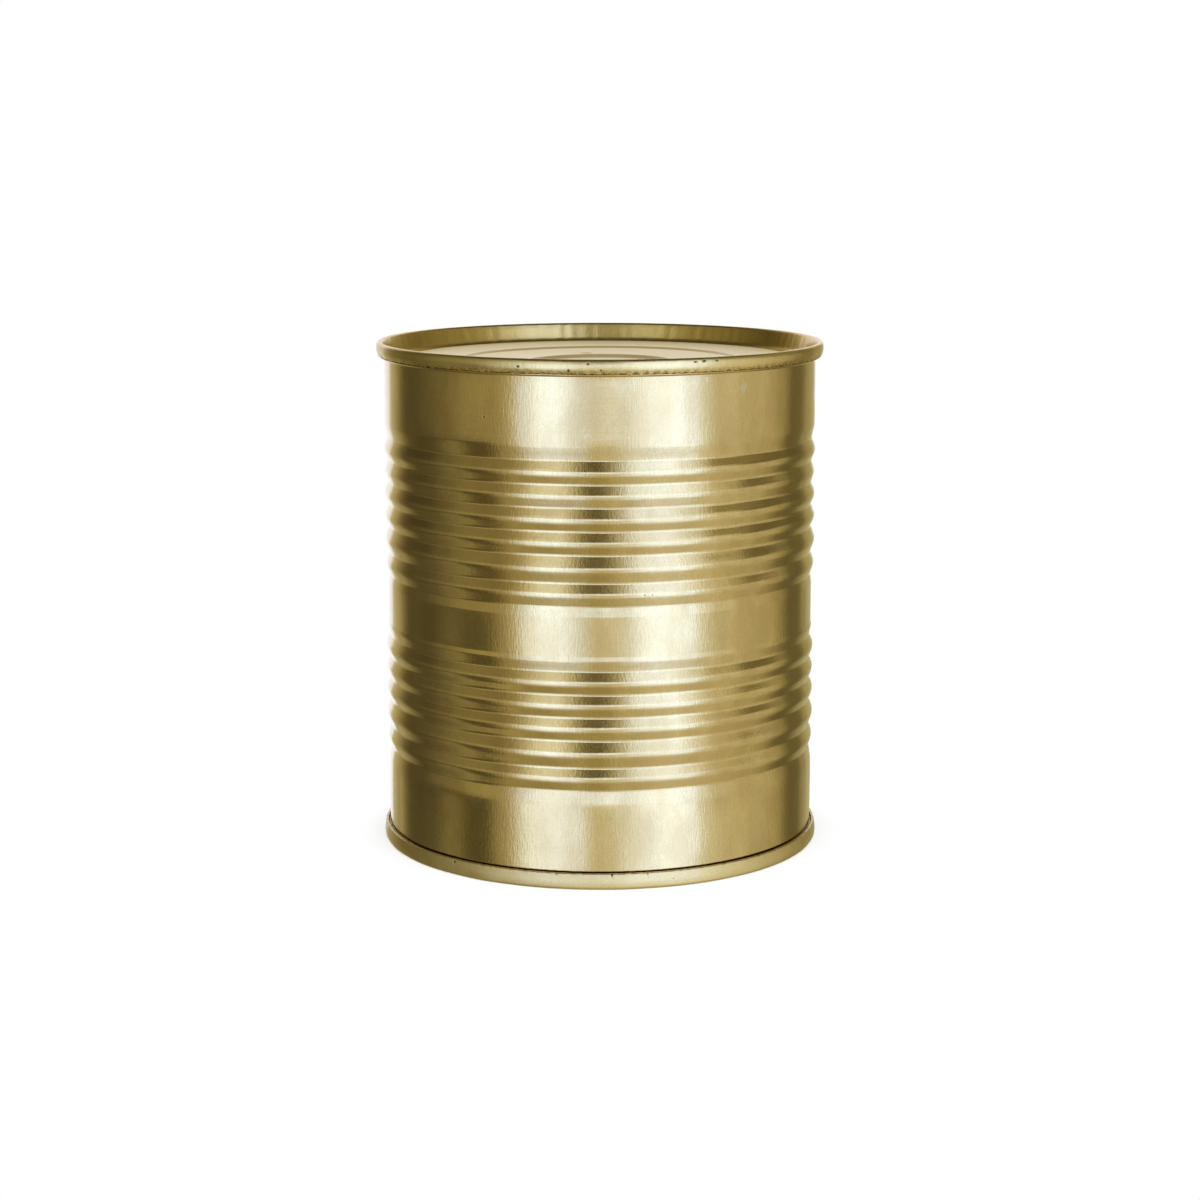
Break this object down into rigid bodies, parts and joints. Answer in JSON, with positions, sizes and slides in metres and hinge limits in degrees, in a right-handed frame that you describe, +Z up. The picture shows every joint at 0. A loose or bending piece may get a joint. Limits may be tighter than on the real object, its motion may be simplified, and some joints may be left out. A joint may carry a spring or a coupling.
{
  "type": "ribbed food can",
  "caption": "Sealed upright steel food can in gold lacquer: ribbed round wall with rolled seams and stepped, recessed ends.",
  "frame": {"origin": "centre of the base, on the plane that the lower seam rests on", "axes": "+Z up along the can's axis; +X to the right and -Y towards the viewer; the small boss on the top end lies towards +Y"},
  "size_m": [0.1029, 0.1028, 0.1163],
  "materials": {
    "body_lacquer": "tinplate under clear gold lacquer, satin, with a fine upright grain",
    "end_lacquer": "tinplate under clear gold lacquer, satin, scuffed along the rolled seam"
  },
  "bodies": {
    "root": {"can_body": "body_lacquer", "top_end": "end_lacquer", "bottom_end": "end_lacquer"}
  },
  "joints": []
}
